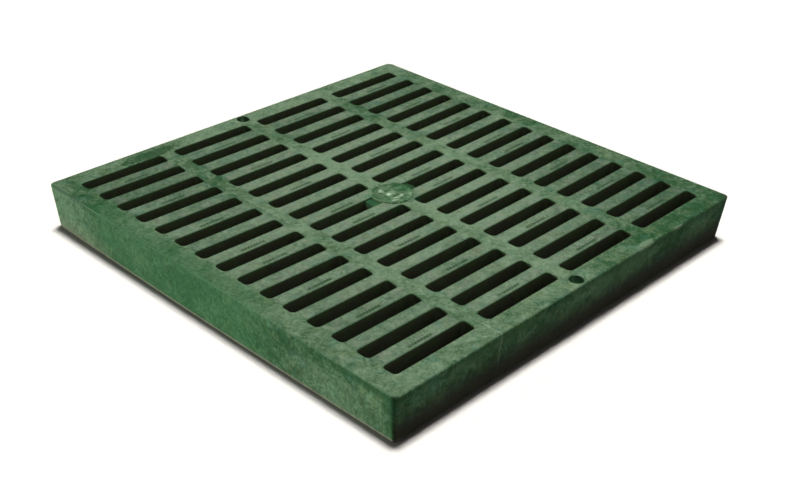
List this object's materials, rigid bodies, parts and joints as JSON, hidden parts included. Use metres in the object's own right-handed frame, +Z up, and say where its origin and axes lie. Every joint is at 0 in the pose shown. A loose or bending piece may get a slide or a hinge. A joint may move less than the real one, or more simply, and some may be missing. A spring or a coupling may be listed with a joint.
{
  "type": "gully grate",
  "caption": "Square slotted gully grate moulded in one piece, with rows of rounded slots, a plain round medallion, a deep drafted rim and countersunk screw holes at two edges.",
  "frame": {"origin": "middle of the square that the rim stands on", "axes": "+X along the slots, +Y across the slots towards one screw hole, +Z up out of the walked-on face"},
  "size_m": [0.3038, 0.3038, 0.0301],
  "materials": {
    "green_plastic": "moulded, weathered matte green"
  },
  "bodies": {
    "root": {"grate": "green_plastic"}
  },
  "joints": []
}
